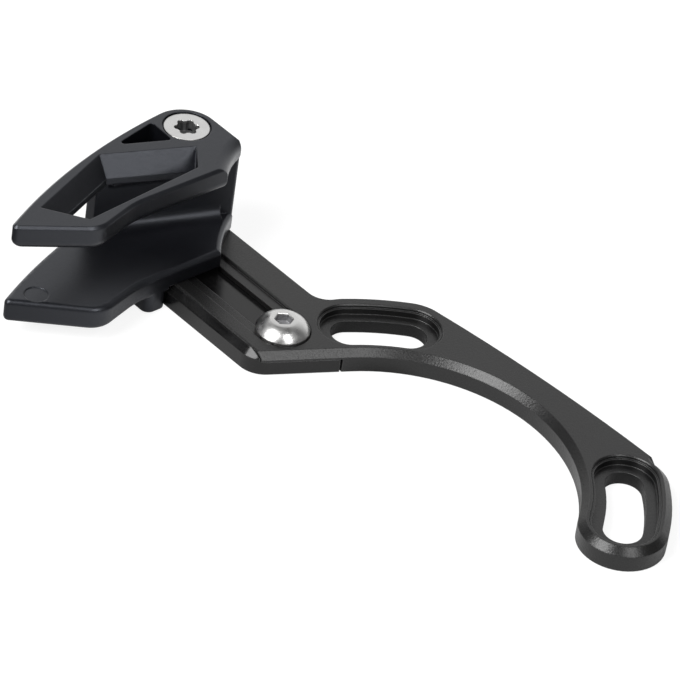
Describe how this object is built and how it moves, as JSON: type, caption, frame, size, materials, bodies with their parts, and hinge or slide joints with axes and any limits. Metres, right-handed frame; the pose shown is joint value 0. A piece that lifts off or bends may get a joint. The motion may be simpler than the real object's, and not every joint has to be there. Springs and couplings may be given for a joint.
{
  "type": "bicycle chain guide",
  "caption": "Bicycle chain guide: a slotted curved plate bolts to the frame, and a clamped slider carries a moulded cage, open towards the chainring, that keeps the chain on.",
  "frame": {"origin": "bottom bracket axis, at the plate's back face", "axes": "+Z along the bottom bracket axis, away from the frame; +X towards the front mounting slot; the arm points up and back at 133 degrees from +X"},
  "size_m": [0.1062, 0.0784, 0.0213],
  "materials": {
    "anodised": "black anodised, satin",
    "moulded": "black moulded, soft satin",
    "bolts": "plain stainless"
  },
  "bodies": {
    "plate": {"backplate": "anodised"},
    "guide": {"slider": "anodised", "cage": "moulded", "clamp_bolt": "bolts", "cage_bolt": "bolts"}
  },
  "joints": [
    {"name": "chainring_size", "type": "slide", "parent": "plate", "child": "guide", "axis": [-0.682, 0.7314, 0], "range_m": [0, 0.02]}
  ]
}
